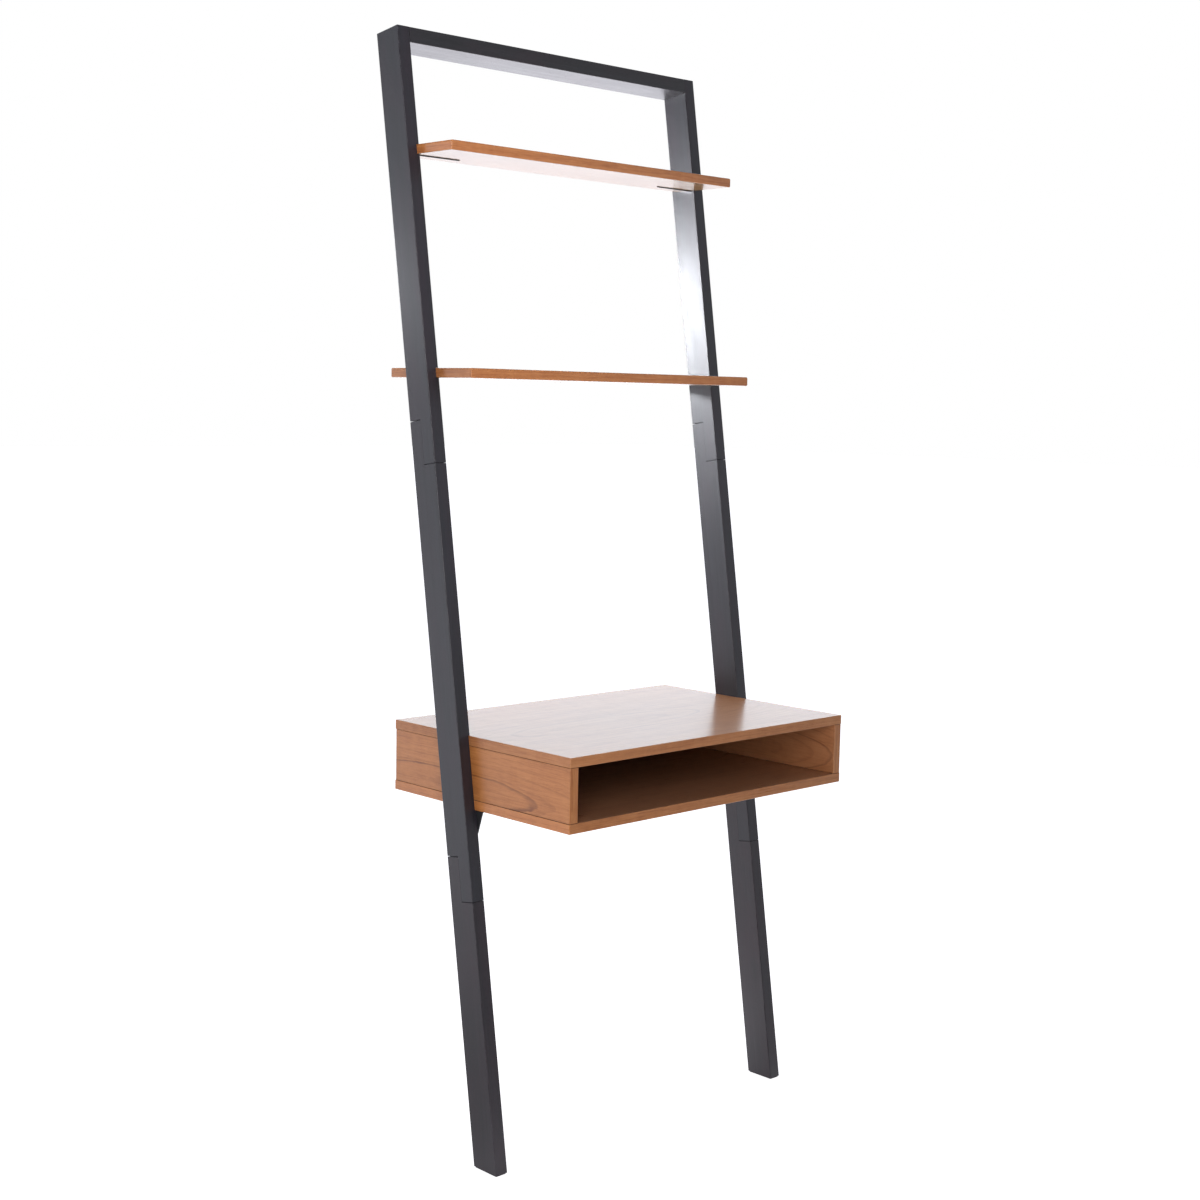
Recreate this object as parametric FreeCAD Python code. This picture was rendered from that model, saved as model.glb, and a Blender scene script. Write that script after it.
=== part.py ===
import FreeCAD, Part
import os, math
from FreeCAD import Vector as V

# ---------------------------------------------------------------------------
# Leaning ladder desk: two raked black stiles, each made of three lengths
# joined end to end by half-lap joints, a top rail, two wood shelves and an
# open-fronted wood desk box housed in the stiles.
#
# Frame: +Z up, +X to the user's right, +Y towards the wall.  The model is
# built with y = 0 on the line where the raked front plane of the stiles meets
# the floor, then moved along Y so that the origin is at the centre of the
# footprint of the whole object, on the floor.  All lengths in millimetres.
# ---------------------------------------------------------------------------

# frame
LEAN = 8.75            # rake of the stiles from the vertical, degrees
INNER_GAP = 720.0      # clear width between the stiles
STILE_T = 27.0         # stile thickness, across the width
STILE_D = 62.0         # stile depth, square to its length
TOP_Z = 2060.0         # height of the front top corner of the stiles
RAIL_H = 28.5          # height of the top rail, square to its length
STILE_EASE = 1.5       # radius on the long edges of the frame
TOP_EASE = 1.0         # radius round the top end of a stile

# half-lap joints, measured along the stile from the floor line
LAP_LOW = 495.0        # front shoulder of the lower lap
LAP_MID = 1290.0       # front shoulder of the middle lap
LAP_LEN = 83.0         # length of a lap, front shoulder to rear shoulder
LAP_FACE_GAP = 0.2     # gap between the two lapped faces
LAP_FRONT_GAP = 0.8    # open seam at a front shoulder
LAP_REAR_GAP = 1.4     # open seam at a rear shoulder
LAP_BOLT_END = 21.0    # bolt distance from each shoulder

# desk box
DESK_TOP_Z = 785.5     # writing surface above the floor
DESK_H = 133.5         # outer height of the box
DESK_W = 727.0         # outer width, both ends housed in the stiles
DESK_FRONT_Y = -151.5
DESK_D = 488.0
PANEL_T = 18.0         # top and bottom panels
SIDE_T = 19.0          # side panels
SIDE_INSET = 0.5       # sides sit this far in from the ends of top and bottom
SIDE_FRONT_INSET = 0.5
SIDE_REAR_INSET = 1.5
PANEL_EASE = 1.2
REAR_CHAMFER = 0.5     # the rear edges of top and bottom are only broken
BACK_T = 6.0
BACK_Y = 322.0         # front face of the back panel
GROOVE_DEPTH = 5.0

# shelves
SHELF_T = 18.0
SHELF_W = 732.0        # both ends housed in the stiles
SHELF_EASE = 2.0
SHELF_END_EASE = 3.2   # the arrises across the ends are rounded a little more
UPPER_Z, UPPER_FRONT_Y, UPPER_D = 1830.0, 184.0, 147.0
MIDDLE_Z, MIDDLE_FRONT_Y, MIDDLE_D = 1427.7, 122.2, 233.0
HOUSING_CLEAR = 0.2    # clearance over the top and at the end of a housing

# steel blade supports let into the ends of the shelves
KERF_BACK = 8.7        # kerf centre behind the stile front, at the underside
KERF_W, KERF_DEPTH, KERF_LEN = 3.0, 13.3, 103.0
BLADE_T, BLADE_H, BLADE_LEN = 2.5, 11.8, 100.0
# how far each pair of blades stands below the underside, clear of the stile; the middle pair
# ends just inside its kerf
UPPER_PROUD, MIDDLE_PROUD = 1.8, -0.3
FLANGE_LEN = 38.0

# steel angle brackets under the desk
BR_T = 2.5             # plate thickness
BR_NOSE = 17.2         # how far the upright leaf stands in front of the stile
BR_DROP = 48.0         # height of the upright leaf
BR_LEAF = 35.0         # width of the level leaf
BR_OUT_R = 4.0

# hardware
BOLT_R, BOLT_HEAD_R, BOLT_HEAD_H = 3.0, 5.0, 6.0
CBORE_R, CBORE_DEPTH = 5.5, 7.5
INSERT_R, INSERT_LEN = 4.8, 13.0
DOWEL_R = 4.0
FIT = 0.05             # radial clearance round a dowel, bolt or screw
PAD_T = 2.0
HANGER_X = 203.0       # wall hanger plates, either side of the centre
HANGER_W, HANGER_H, HANGER_T = 44.0, 18.0, 2.0

th = math.radians(LEAN)
TAN, COS, SIN = math.tan(th), math.cos(th), math.sin(th)
G = INNER_GAP / 2.0
U_TOP = TOP_Z / COS
DEPTH_Y = STILE_D / COS        # level depth of a raked stile
DESK_BOTTOM_Z = DESK_TOP_Z - DESK_H
MID_V = STILE_D / 2.0


def box(x0, x1, y0, y1, z0, z1):
    return Part.makeBox(abs(x1 - x0), abs(y1 - y0), abs(z1 - z0),
                        V(min(x0, x1), min(y0, y1), min(z0, z1)))


def rake(shape):
    """Turn a shape built upright so that it leans back towards the wall."""
    s = shape.copy()
    s.rotate(V(0, 0, 0), V(1, 0, 0), -LEAN)
    return s


def mirror_x(shape):
    return shape.mirror(V(0, 0, 0), V(1, 0, 0))


def rounded_bar(a0, a1, b0, b1, r, plane, lo, hi):
    """A bar with an eased rectangular section, swept along one axis.
    plane 'xy' sweeps along Z, plane 'yz' sweeps along X."""
    k = r * (1 - math.sqrt(0.5))

    def P(a, b):
        return V(a, b, lo) if plane == "xy" else V(lo, a, b)
    e = [Part.LineSegment(P(a0 + r, b0), P(a1 - r, b0)),
         Part.Arc(P(a1 - r, b0), P(a1 - k, b0 + k), P(a1, b0 + r)),
         Part.LineSegment(P(a1, b0 + r), P(a1, b1 - r)),
         Part.Arc(P(a1, b1 - r), P(a1 - k, b1 - k), P(a1 - r, b1)),
         Part.LineSegment(P(a1 - r, b1), P(a0 + r, b1)),
         Part.Arc(P(a0 + r, b1), P(a0 + k, b1 - k), P(a0, b1 - r)),
         Part.LineSegment(P(a0, b1 - r), P(a0, b0 + r)),
         Part.Arc(P(a0, b0 + r), P(a0 + k, b0 + k), P(a0 + r, b0))]
    face = Part.Face(Part.Wire([s.toShape() for s in e]))
    return face.extrude(V(0, 0, hi - lo) if plane == "xy" else V(hi - lo, 0, 0))


def eased_box(x0, x1, y0, y1, z0, z1, r):
    b = box(x0, x1, y0, y1, z0, z1)
    return b.makeFillet(r, b.Edges)


def desk_panel(x0, x1, y0, y1, z0, z1, r):
    """A board with rounded front and side edges and plain, broken rear edges."""
    b = box(x0, x1, y0, y1, z0, z1)
    b = b.makeFillet(r, [e for e in b.Edges if e.BoundBox.YMin < y1 - 1e-6])
    return b.makeChamfer(REAR_CHAMFER, [e for e in b.Edges if e.BoundBox.YMin > y1 - 1e-6])


def cyl(r, base, direction, length):
    return Part.makeCylinder(r, length, base, direction)


def screw(base, direction, head_r, shank_r, length, head_h, clear=0.0):
    """Countersunk screw.  base is the centre of the flat head face and
    direction points along the shank."""
    c = Part.makeCone(head_r + clear, shank_r + clear, head_h, base, direction)
    s = Part.makeCylinder(shank_r + clear, length + clear, base, direction)
    out = c.fuse(s)
    if clear:
        lip = base - direction * 1.0
        out = out.fuse(Part.makeCylinder(head_r + clear, 1.0, lip, direction))
        return out
    return out.removeSplitter()


def cross_recess(base, direction, arm, width, depth):
    """Cross-shaped driver recess cut into the head of a screw."""
    d = V(direction); d.normalize()
    ref = V(0, 0, 1) if abs(d.z) < 0.9 else V(0, 1, 0)
    e1 = d.cross(ref); e1.normalize()
    e2 = d.cross(e1); e2.normalize()
    out = None
    for a, b in ((e1, e2), (e2, e1)):
        p = [base + a * sa * arm / 2 + b * sb * width / 2
             for sa, sb in ((-1, -1), (1, -1), (1, 1), (-1, 1))]
        p = [q - d * 0.5 for q in p]
        f = Part.Face(Part.makePolygon(p + [p[0]]))
        s = f.extrude(d * (depth + 0.5))
        out = s if out is None else out.fuse(s)
    return out


def hex_recess(base, direction, across, depth):
    d = V(direction); d.normalize()
    ref = V(1, 0, 0)
    e1 = ref - d * ref.dot(d); e1.normalize()
    e2 = d.cross(e1)
    rr = across / math.sqrt(3.0)
    p = [base - d * 0.5 + e1 * rr * math.cos(math.radians(60 * i))
         + e2 * rr * math.sin(math.radians(60 * i)) for i in range(6)]
    return Part.Face(Part.makePolygon(p + [p[0]])).extrude(d * (depth + 0.5))


parts = {}

# ---------------------------------------------------------------------------
# Stiles, right-hand side first, upright and then raked
# ---------------------------------------------------------------------------
BIG = 400.0
blank = rounded_bar(G, G + STILE_T, 0.0, STILE_D, STILE_EASE, "xy", -30.0, U_TOP)
top_edges = [e for e in blank.Edges
             if abs(e.BoundBox.ZMin - U_TOP) < 1e-6 and abs(e.BoundBox.ZMax - U_TOP) < 1e-6]
try:
    blank = blank.makeFillet(TOP_EASE, top_edges)
except Exception:
    pass


def zone(v0, v1, u0, u1):
    """Everything inside a depth range and a length range of the blank."""
    return box(G - 5, G + STILE_T + 5, v0, v1, u0, u1)


hg = LAP_FACE_GAP / 2.0
low_rear = LAP_LOW + LAP_LEN
mid_rear = LAP_MID + LAP_LEN

bottom_keep = zone(-5, STILE_D + 5, -40, LAP_LOW).fuse(
    zone(MID_V + hg, STILE_D + 5, LAP_LOW - 1, low_rear - LAP_REAR_GAP))
middle_keep = zone(-5, STILE_D + 5, low_rear, LAP_MID).fuse(
    zone(-5, MID_V - hg, LAP_LOW + LAP_FRONT_GAP, low_rear + 1)).fuse(
    zone(MID_V + hg, STILE_D + 5, LAP_MID - 1, mid_rear - LAP_REAR_GAP))
top_keep = zone(-5, STILE_D + 5, mid_rear, U_TOP + 10).fuse(
    zone(-5, MID_V - hg, LAP_MID + LAP_FRONT_GAP, mid_rear + 1))

bottom = blank.common(bottom_keep.removeSplitter())
middle = blank.common(middle_keep.removeSplitter())
top = blank.common(top_keep.removeSplitter())

# lap bolts enter from the rear face and end in threaded inserts set into the
# lapped face of the front half, so the front of the stile stays unbroken
XC = G + STILE_T / 2.0
lap_us = [LAP_LOW + LAP_BOLT_END, low_rear - LAP_BOLT_END,
          LAP_MID + LAP_BOLT_END, mid_rear - LAP_BOLT_END]
rear_v = STILE_D
bolt_end_v = 14.0
bolts, inserts = [], []
for i, u in enumerate(lap_us):
    fwd = V(0, -1, 0)
    head_v = rear_v - CBORE_DEPTH + BOLT_HEAD_H
    head = cyl(BOLT_HEAD_R, V(XC, head_v, u), fwd, BOLT_HEAD_H)
    head = head.makeFillet(0.6, [e for e in head.Edges
                                 if abs(e.BoundBox.YMin - head_v) < 1e-6
                                 and abs(e.BoundBox.YMax - head_v) < 1e-6])
    shank = cyl(BOLT_R, V(XC, head_v - BOLT_HEAD_H, u), fwd,
                head_v - BOLT_HEAD_H - bolt_end_v)
    b = head.fuse(shank).removeSplitter()
    b = b.cut(hex_recess(V(XC, head_v, u), fwd, 5.0, 3.0))
    bolts.append(b)
    front_face_v = MID_V - hg
    ins = cyl(INSERT_R, V(XC, front_face_v, u), fwd, INSERT_LEN)
    ins = ins.cut(cyl(BOLT_R + FIT, V(XC, front_face_v + 1, u), fwd, INSERT_LEN + 2))
    inserts.append(ins)
    drill_rear = cyl(BOLT_R + 0.3, V(XC, rear_v + 5, u), fwd, rear_v + 5 - MID_V + 5)
    cbore = cyl(CBORE_R, V(XC, rear_v + 5, u), fwd, 5 + CBORE_DEPTH)
    drill_front = cyl(INSERT_R + FIT, V(XC, MID_V + 5, u), fwd,
                      5 + MID_V - (front_face_v - INSERT_LEN) + 0.3)
    drill_tip = cyl(BOLT_R + 0.3, V(XC, MID_V, u), fwd, MID_V - bolt_end_v + 1.0)
    rear_tool = drill_rear.fuse(cbore)
    front_tool = drill_front.fuse(drill_tip)
    if i < 2:
        bottom = bottom.cut(rear_tool)
        middle = middle.cut(front_tool)
    else:
        middle = middle.cut(rear_tool)
        top = top.cut(front_tool)

# top rail and its glued dowels
rail = rounded_bar(0.0, STILE_D, U_TOP - RAIL_H, U_TOP, STILE_EASE, "yz", -G, G)
rail_dowels = []
for v in (17.0, 45.0):
    base = V(G - 24.0, v, U_TOP - RAIL_H / 2.0)
    d = cyl(DOWEL_R, base, V(1, 0, 0), 40.0)
    d = d.makeChamfer(0.8, [e for e in d.Edges if e.Curve.TypeId == "Part::GeomCircle"])
    rail_dowels.append(d)
    hole = cyl(DOWEL_R + FIT, base - V(1.0, 0, 0), V(1, 0, 0), 42.0)
    rail = rail.cut(hole).cut(mirror_x(hole))
    top = top.cut(hole)

# wall hanger plates, flush in the rear face of the top rail
RAIL_MID_U = U_TOP - RAIL_H / 2.0
plates, plate_screws = [], []
for sx in (-1, 1):
    cx = sx * HANGER_X
    pocket = box(cx - HANGER_W / 2 - 0.2, cx + HANGER_W / 2 + 0.2,
                 STILE_D - HANGER_T, STILE_D + 5,
                 RAIL_MID_U - HANGER_H / 2 - 0.2, RAIL_MID_U + HANGER_H / 2 + 0.2)
    well = box(cx - 6.0, cx + 6.0, STILE_D - 11.0, STILE_D,
               RAIL_MID_U - 7.5, RAIL_MID_U + 7.5)
    rail = rail.cut(pocket).cut(well)
    pl = box(cx - HANGER_W / 2, cx + HANGER_W / 2, STILE_D - HANGER_T, STILE_D,
             RAIL_MID_U - HANGER_H / 2, RAIL_MID_U + HANGER_H / 2)
    pl = pl.makeFillet(3.0, [e for e in pl.Edges
                             if abs(e.BoundBox.YLength - HANGER_T) < 1e-6
                             and e.BoundBox.XLength < 1e-6 and e.BoundBox.ZLength < 1e-6])
    key = cyl(4.5, V(cx, STILE_D - 5, RAIL_MID_U - 2.8), V(0, 1, 0), 10)
    key = key.fuse(box(cx - 2.25, cx + 2.25, STILE_D - 5, STILE_D + 5,
                       RAIL_MID_U - 2.8, RAIL_MID_U + 4.2))
    key = key.fuse(cyl(2.25, V(cx, STILE_D - 5, RAIL_MID_U + 4.2), V(0, 1, 0), 10))
    pl = pl.cut(key)
    for off in (-16.5, 16.5):
        b0 = V(cx + off, STILE_D, RAIL_MID_U)
        s = screw(b0, V(0, -1, 0), 3.0, 1.5, 14.0, 1.7)
        tool = screw(b0, V(0, -1, 0), 3.0, 1.5, 14.0, 1.7, FIT)
        pl = pl.cut(tool)
        rail = rail.cut(tool)
        plate_screws.append(s.cut(cross_recess(b0, V(0, -1, 0), 2.6, 0.7, 0.9)))
    plates.append(pl)

# rake everything that belongs to the frame
bottom, middle, top = rake(bottom), rake(middle), rake(top)
rail = rake(rail)
bolts = [rake(s) for s in bolts]
inserts = [rake(s) for s in inserts]
rail_dowels = [rake(s) for s in rail_dowels]
plates = [rake(s) for s in plates]
plate_screws = [rake(s) for s in plate_screws]

# feet are cut level, just above their pads
bottom = bottom.cut(box(-BIG * 3, BIG * 3, -BIG, BIG, -200.0, PAD_T))

# housings for the desk box and the shelves, cut level into the inner faces
desk_housing = box(G - 10, DESK_W / 2 + HOUSING_CLEAR, -BIG, BIG * 2,
                   DESK_BOTTOM_Z, DESK_TOP_Z + HOUSING_CLEAR)
middle = middle.cut(desk_housing)
upper_rear_y = UPPER_FRONT_Y + UPPER_D
middle_rear_y = MIDDLE_FRONT_Y + MIDDLE_D
upper_housing = box(G - 10, SHELF_W / 2 + HOUSING_CLEAR, -BIG, upper_rear_y + 0.3,
                    UPPER_Z, UPPER_Z + SHELF_T + HOUSING_CLEAR)
middle_housing = box(G - 10, SHELF_W / 2 + HOUSING_CLEAR, -BIG, BIG * 2,
                     MIDDLE_Z, MIDDLE_Z + SHELF_T + HOUSING_CLEAR)
top = top.cut(upper_housing).cut(middle_housing)

# ---------------------------------------------------------------------------
# Shelves with their kerfs, and the steel blades in them
# ---------------------------------------------------------------------------
XE = SHELF_W / 2.0
supports = {}
support_screws = []
for name, z0, yf, dep, proud in (("upper_shelf", UPPER_Z, UPPER_FRONT_Y, UPPER_D, UPPER_PROUD),
                                 ("middle_shelf", MIDDLE_Z, MIDDLE_FRONT_Y, MIDDLE_D, MIDDLE_PROUD)):
    s = box(-XE, XE, yf, yf + dep, z0, z0 + SHELF_T)
    s = s.makeFillet(SHELF_END_EASE, [e for e in s.Edges if e.BoundBox.YLength > dep - 1e-6])
    s = s.makeFillet(SHELF_EASE, [e for e in s.Edges if e.BoundBox.YLength < 1e-6])
    ky = z0 * TAN + KERF_BACK
    k0, k1 = ky - KERF_W / 2.0, ky + KERF_W / 2.0
    b0 = ky - BLADE_T / 2.0
    xf = XE + HOUSING_CLEAR          # floor of the housing
    kerf = box(G - KERF_LEN, XE + 1, k0, k1, z0 - 1, z0 + KERF_DEPTH)
    rebate = box(xf - BLADE_T - 0.2, XE + 1, k0, b0 + FLANGE_LEN + 0.3, z0 - 1, z0 + KERF_DEPTH)
    zb = z0 + 1.0
    blade = box(G - BLADE_LEN, xf, b0, b0 + BLADE_T, zb, zb + BLADE_H)
    lip = box(G - BLADE_LEN, G - 0.3, b0, b0 + BLADE_T, z0 - proud, zb + 1.0)
    flange = box(xf - BLADE_T, xf, b0, b0 + FLANGE_LEN, zb, zb + BLADE_H)
    sup = blade.fuse(lip).fuse(flange).removeSplitter()
    tip = [e for e in sup.Edges if abs(e.BoundBox.XMax - (G - BLADE_LEN)) < 1e-6
           and e.BoundBox.XLength < 1e-6 and abs(e.BoundBox.YLength - BLADE_T) < 1e-6]
    try:
        sup = sup.makeFillet(3.0, tip)
    except Exception:
        pass
    for off in (13.0, 31.0):
        c = V(xf - BLADE_T, b0 + off, z0 + 6.9)
        sc = screw(c, V(1, 0, 0), 3.3, 1.7, 16.0, 2.0)
        tool = screw(c, V(1, 0, 0), 3.3, 1.7, 16.0, 2.0, FIT)
        sup = sup.cut(tool)
        top = top.cut(tool)
        sc = sc.cut(cross_recess(c, V(1, 0, 0), 3.0, 0.8, 1.1))
        support_screws += [sc, mirror_x(sc)]
    s = s.cut(kerf).cut(rebate).cut(mirror_x(kerf)).cut(mirror_x(rebate))
    parts[name] = s
    supports[name + "_support_right"] = sup
    supports[name + "_support_left"] = mirror_x(sup)

# ---------------------------------------------------------------------------
# Desk box
# ---------------------------------------------------------------------------
XD = DESK_W / 2.0
desk_rear_y = DESK_FRONT_Y + DESK_D
z_lo, z_hi = DESK_BOTTOM_Z + PANEL_T, DESK_TOP_Z - PANEL_T
top_panel = desk_panel(-XD, XD, DESK_FRONT_Y, desk_rear_y, z_hi, DESK_TOP_Z, PANEL_EASE)
bottom_panel = desk_panel(-XD, XD, DESK_FRONT_Y, desk_rear_y, DESK_BOTTOM_Z, z_lo, PANEL_EASE)
side_out, side_in = XD - SIDE_INSET, XD - SIDE_INSET - SIDE_T
side = eased_box(side_in, side_out, DESK_FRONT_Y + SIDE_FRONT_INSET,
                 desk_rear_y - SIDE_REAR_INSET, z_lo, z_hi, PANEL_EASE * 0.8)

# back panel in a groove that runs round all four panels
gx = side_in + GROOVE_DEPTH
groove = box(-gx - 0.2, gx + 0.2, BACK_Y - 0.1, BACK_Y + BACK_T + 0.1,
             z_lo - GROOVE_DEPTH - 0.2, z_hi + GROOVE_DEPTH + 0.2)
top_panel = top_panel.cut(groove)
bottom_panel = bottom_panel.cut(groove)
side = side.cut(groove)
back = box(-gx, gx, BACK_Y, BACK_Y + BACK_T, z_lo - GROOVE_DEPTH, z_hi + GROOVE_DEPTH)
back = back.makeChamfer(0.4, back.Edges)

# glued dowels between the sides and the top and bottom panels
desk_dowels = []
xs = (side_in + side_out) / 2.0
for y in (-105.0, 90.0, 285.0):
    for zc, up in ((z_lo, -1), (z_hi, 1)):
        base = V(xs, y, zc - up * 19.0)
        d = cyl(DOWEL_R, base, V(0, 0, up), 30.0)
        d = d.makeChamfer(0.8, [e for e in d.Edges if e.Curve.TypeId == "Part::GeomCircle"])
        desk_dowels += [d, mirror_x(d)]
        hole = cyl(DOWEL_R + FIT, base - V(0, 0, up), V(0, 0, up), 32.0)
        side = side.cut(hole)
        if up > 0:
            top_panel = top_panel.cut(hole).cut(mirror_x(hole))
        else:
            bottom_panel = bottom_panel.cut(hole).cut(mirror_x(hole))

# ---------------------------------------------------------------------------
# Steel angle brackets under the desk
# ---------------------------------------------------------------------------
zt = DESK_BOTTOM_Z
ya = zt * TAN - BR_NOSE                     # nose of the bracket
yb = zt * TAN + DEPTH_Y - 4.0               # heel of the bracket
ro, ri = BR_OUT_R, BR_OUT_R - BR_T
ko, ki = ro * (1 - math.sqrt(0.5)), ri * (1 - math.sqrt(0.5))
pts = {}
x_in = G - BR_LEAF
P = lambda x, z: V(x, ya, z)
segs = [Part.LineSegment(P(x_in, zt), P(G - ro, zt)),
        Part.Arc(P(G - ro, zt), P(G - ko, zt - ko), P(G, zt - ro)),
        Part.LineSegment(P(G, zt - ro), P(G, zt - BR_DROP)),
        Part.LineSegment(P(G, zt - BR_DROP), P(G - BR_T, zt - BR_DROP)),
        Part.LineSegment(P(G - BR_T, zt - BR_DROP), P(G - BR_T, zt - ro)),
        Part.Arc(P(G - BR_T, zt - ro), P(G - BR_T - ki, zt - BR_T - ki), P(G - ro, zt - BR_T)),
        Part.LineSegment(P(G - ro, zt - BR_T), P(x_in, zt - BR_T)),
        Part.LineSegment(P(x_in, zt - BR_T), P(x_in, zt))]
angle = Part.Face(Part.Wire([q.toShape() for q in segs])).extrude(V(0, yb - ya, 0))
nose_slope = (11.6 / 36.0) * BR_DROP
outline = Part.Face(Part.makePolygon([
    V(G - 60, ya, zt + 5), V(G - 60, yb, zt + 5), V(G - 60, yb, zt - BR_OUT_R),
    V(G - 60, yb - 18.0, zt - BR_DROP - 1), V(G - 60, ya + nose_slope, zt - BR_DROP - 1),
    V(G - 60, ya, zt - 1.0), V(G - 60, ya, zt + 5)])).extrude(V(80, 0, 0))
bracket = angle.common(outline)
corner = [e for e in bracket.Edges if e.BoundBox.ZLength < 1e-6 and e.BoundBox.YLength < 1e-6
          and abs(e.BoundBox.XLength - BR_T) < 1e-6 and abs(e.BoundBox.ZMin - (zt - BR_DROP)) < 1e-6]
try:
    bracket = bracket.makeFillet(4.0, corner)
except Exception:
    pass
leaf_corner = [e for e in bracket.Edges if abs(e.BoundBox.XMin - x_in) < 1e-6
               and abs(e.BoundBox.XMax - x_in) < 1e-6 and abs(e.BoundBox.ZLength - BR_T) < 1e-6]
try:
    bracket = bracket.makeFillet(4.0, leaf_corner)
except Exception:
    pass

bracket_screws = []


def pan_screw(base, direction, length):
    head = Part.makeCylinder(3.8, 2.4, base - direction * 2.4, direction)
    top_e = [e for e in head.Edges if e.Curve.TypeId == "Part::GeomCircle"
             and (e.CenterOfMass - (base - direction * 2.4)).Length < 1e-4]
    head = head.makeFillet(1.2, top_e)
    s = head.fuse(Part.makeCylinder(2.0, length, base, direction)).removeSplitter()
    return s.cut(cross_recess(base - direction * 2.4, direction, 3.6, 0.9, 1.4))


for y, z in ((zt * TAN + 17.0, zt - 22.0), (zt * TAN + 43.0, zt - 22.0)):
    base = V(G - BR_T, y - 22.0 * TAN, z)
    s = pan_screw(base, V(1, 0, 0), 20.0)
    tool = Part.makeCylinder(2.0 + FIT, 21.0, base - V(0.5, 0, 0), V(1, 0, 0))
    bracket = bracket.cut(tool)
    middle = middle.cut(tool)
    bracket_screws += [s, mirror_x(s)]
for y in (ya + 14.0, yb - 14.0):
    base = V(G - 21.0, y, zt - BR_T)
    s = pan_screw(base, V(0, 0, 1), 16.0)
    tool = Part.makeCylinder(2.0 + FIT, 16.5, base - V(0, 0, 0.5), V(0, 0, 1))
    bracket = bracket.cut(tool)
    bottom_panel = bottom_panel.cut(tool).cut(mirror_x(tool))
    bracket_screws += [s, mirror_x(s)]

# ---------------------------------------------------------------------------
# Foot pads
# ---------------------------------------------------------------------------
pad = box(G + 1.5, G + STILE_T - 1.5, 2.0, DEPTH_Y - 1.4, 0.0, PAD_T)
pad = pad.makeFillet(2.5, [e for e in pad.Edges if abs(e.BoundBox.ZLength - PAD_T) < 1e-6])

# ---------------------------------------------------------------------------
# Node list
# ---------------------------------------------------------------------------
for n, s in (("stile_bottom", bottom), ("stile_middle", middle), ("stile_top", top)):
    parts["right_" + n] = s
    parts["left_" + n] = mirror_x(s)
parts["top_rail"] = rail
parts["desk_top_panel"] = top_panel
parts["desk_bottom_panel"] = bottom_panel
parts["desk_right_side"] = side
parts["desk_left_side"] = mirror_x(side)
parts["desk_back_panel"] = back
parts["desk_bracket_right"] = bracket
parts["desk_bracket_left"] = mirror_x(bracket)
parts.update(supports)
parts["right_foot_pad"] = pad
parts["left_foot_pad"] = mirror_x(pad)
parts["wall_hanger_plate_left"] = plates[0]
parts["wall_hanger_plate_right"] = plates[1]


def group(shapes, mirrored=True):
    out = list(shapes)
    if mirrored:
        out += [mirror_x(s) for s in shapes]
    return Part.makeCompound(out)


parts["lap_bolts"] = group(bolts)
parts["lap_inserts"] = group(inserts)
parts["rail_dowels"] = group(rail_dowels)
parts["wall_hanger_screws"] = group(plate_screws, False)
parts["shelf_support_screws"] = group(support_screws, False)
parts["desk_bracket_screws"] = group(bracket_screws, False)
parts["desk_dowels"] = group(desk_dowels, False)

# ---------------------------------------------------------------------------
# Move the origin to the centre of the footprint, check and export
# ---------------------------------------------------------------------------
bb = FreeCAD.BoundBox()
for s in parts.values():
    bb.add(s.BoundBox)
shift = V(0, -(bb.YMin + bb.YMax) / 2.0, 0)
print("bbox mm  X %.3f %.3f  Y %.3f %.3f  Z %.3f %.3f" %
      (bb.XMin, bb.XMax, bb.YMin, bb.YMax, bb.ZMin, bb.ZMax))
print("shift y %.4f" % shift.y)

os.makedirs("parts", exist_ok=True)
for name in sorted(parts):
    s = parts[name].copy()
    s.translate(shift)
    solids = s.Solids
    ok = s.isValid() and all(q.Volume > 0 for q in solids)
    print("%-30s solids %2d  volume %12.1f  %s" %
          (name, len(solids), sum(q.Volume for q in solids), "ok" if ok else "BAD"))
    out = solids[0] if len(solids) == 1 else Part.makeCompound(solids)
    out.exportStep("parts/" + name + ".step")
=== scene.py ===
import math
import bpy
from mathutils import Matrix, Vector


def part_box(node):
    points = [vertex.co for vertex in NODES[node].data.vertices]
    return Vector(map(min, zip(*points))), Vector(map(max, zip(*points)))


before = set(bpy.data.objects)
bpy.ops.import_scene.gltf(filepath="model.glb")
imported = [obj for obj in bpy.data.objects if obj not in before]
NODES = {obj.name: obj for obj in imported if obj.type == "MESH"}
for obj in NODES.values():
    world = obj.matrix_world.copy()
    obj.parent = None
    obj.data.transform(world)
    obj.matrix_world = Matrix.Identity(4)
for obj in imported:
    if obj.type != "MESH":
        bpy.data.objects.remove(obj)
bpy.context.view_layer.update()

# ---------------------------------------------------------------------------
# Leaning ladder desk: finishes, studio and camera.  Metres, +Z up, +X to the
# right, +Y towards the wall.  Material patterns are worked out in millimetres.
# ---------------------------------------------------------------------------

LEAN = math.radians(8.75)
SIN, COS = math.sin(LEAN), math.cos(LEAN)
SHIFT_Y = -113.354          # y of the foot line of the stiles' front plane, mm


# ---------------------------------------------------------------------------
# camera
# ---------------------------------------------------------------------------

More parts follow.
